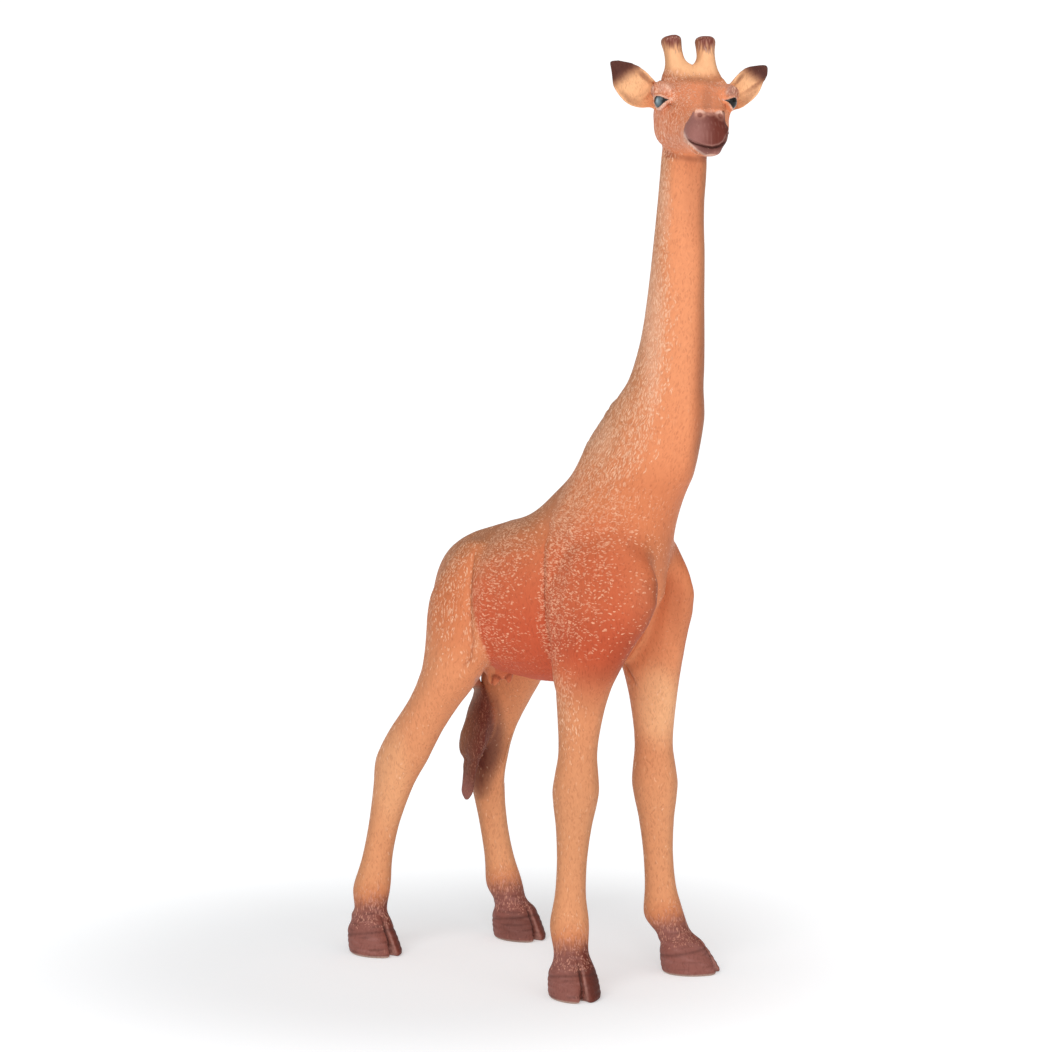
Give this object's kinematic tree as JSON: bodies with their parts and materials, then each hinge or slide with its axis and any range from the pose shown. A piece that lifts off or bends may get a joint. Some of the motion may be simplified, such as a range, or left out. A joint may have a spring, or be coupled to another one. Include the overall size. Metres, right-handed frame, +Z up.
{
  "type": "toy giraffe figure",
  "caption": "Moulded toy giraffe standing on cloven hooves, its head turned to its right, with glued-in legs, neck, head, ears, ossicones, eyes and tail.",
  "frame": {"origin": "on the floor, under the middle of the figure's bounding box", "axes": "+X the way the body faces, +Y the animal's left side, +Z up"},
  "size_m": [0.0878, 0.0388, 0.1719],
  "materials": {
    "coat": "satin soft plastic, airbrushed orange and red with cream dry-brushed hair",
    "cream": "satin soft plastic, cream with brown airbrushed tips",
    "horn": "satin soft plastic, dark brown with pale dry-brushed edges",
    "eye": "gloss black"
  },
  "bodies": {
    "root": {"torso": "coat", "neck": "coat", "head": "coat", "tail": "coat", "tail_tuft": "horn", "right_fore_leg": "coat", "left_fore_leg": "coat", "right_hind_leg": "coat", "left_hind_leg": "coat", "right_fore_hoof": "horn", "left_fore_hoof": "horn", "right_hind_hoof": "horn", "left_hind_hoof": "horn", "right_ear": "cream", "left_ear": "cream", "right_ossicone": "cream", "left_ossicone": "cream", "right_eye": "eye", "left_eye": "eye"}
  },
  "joints": []
}
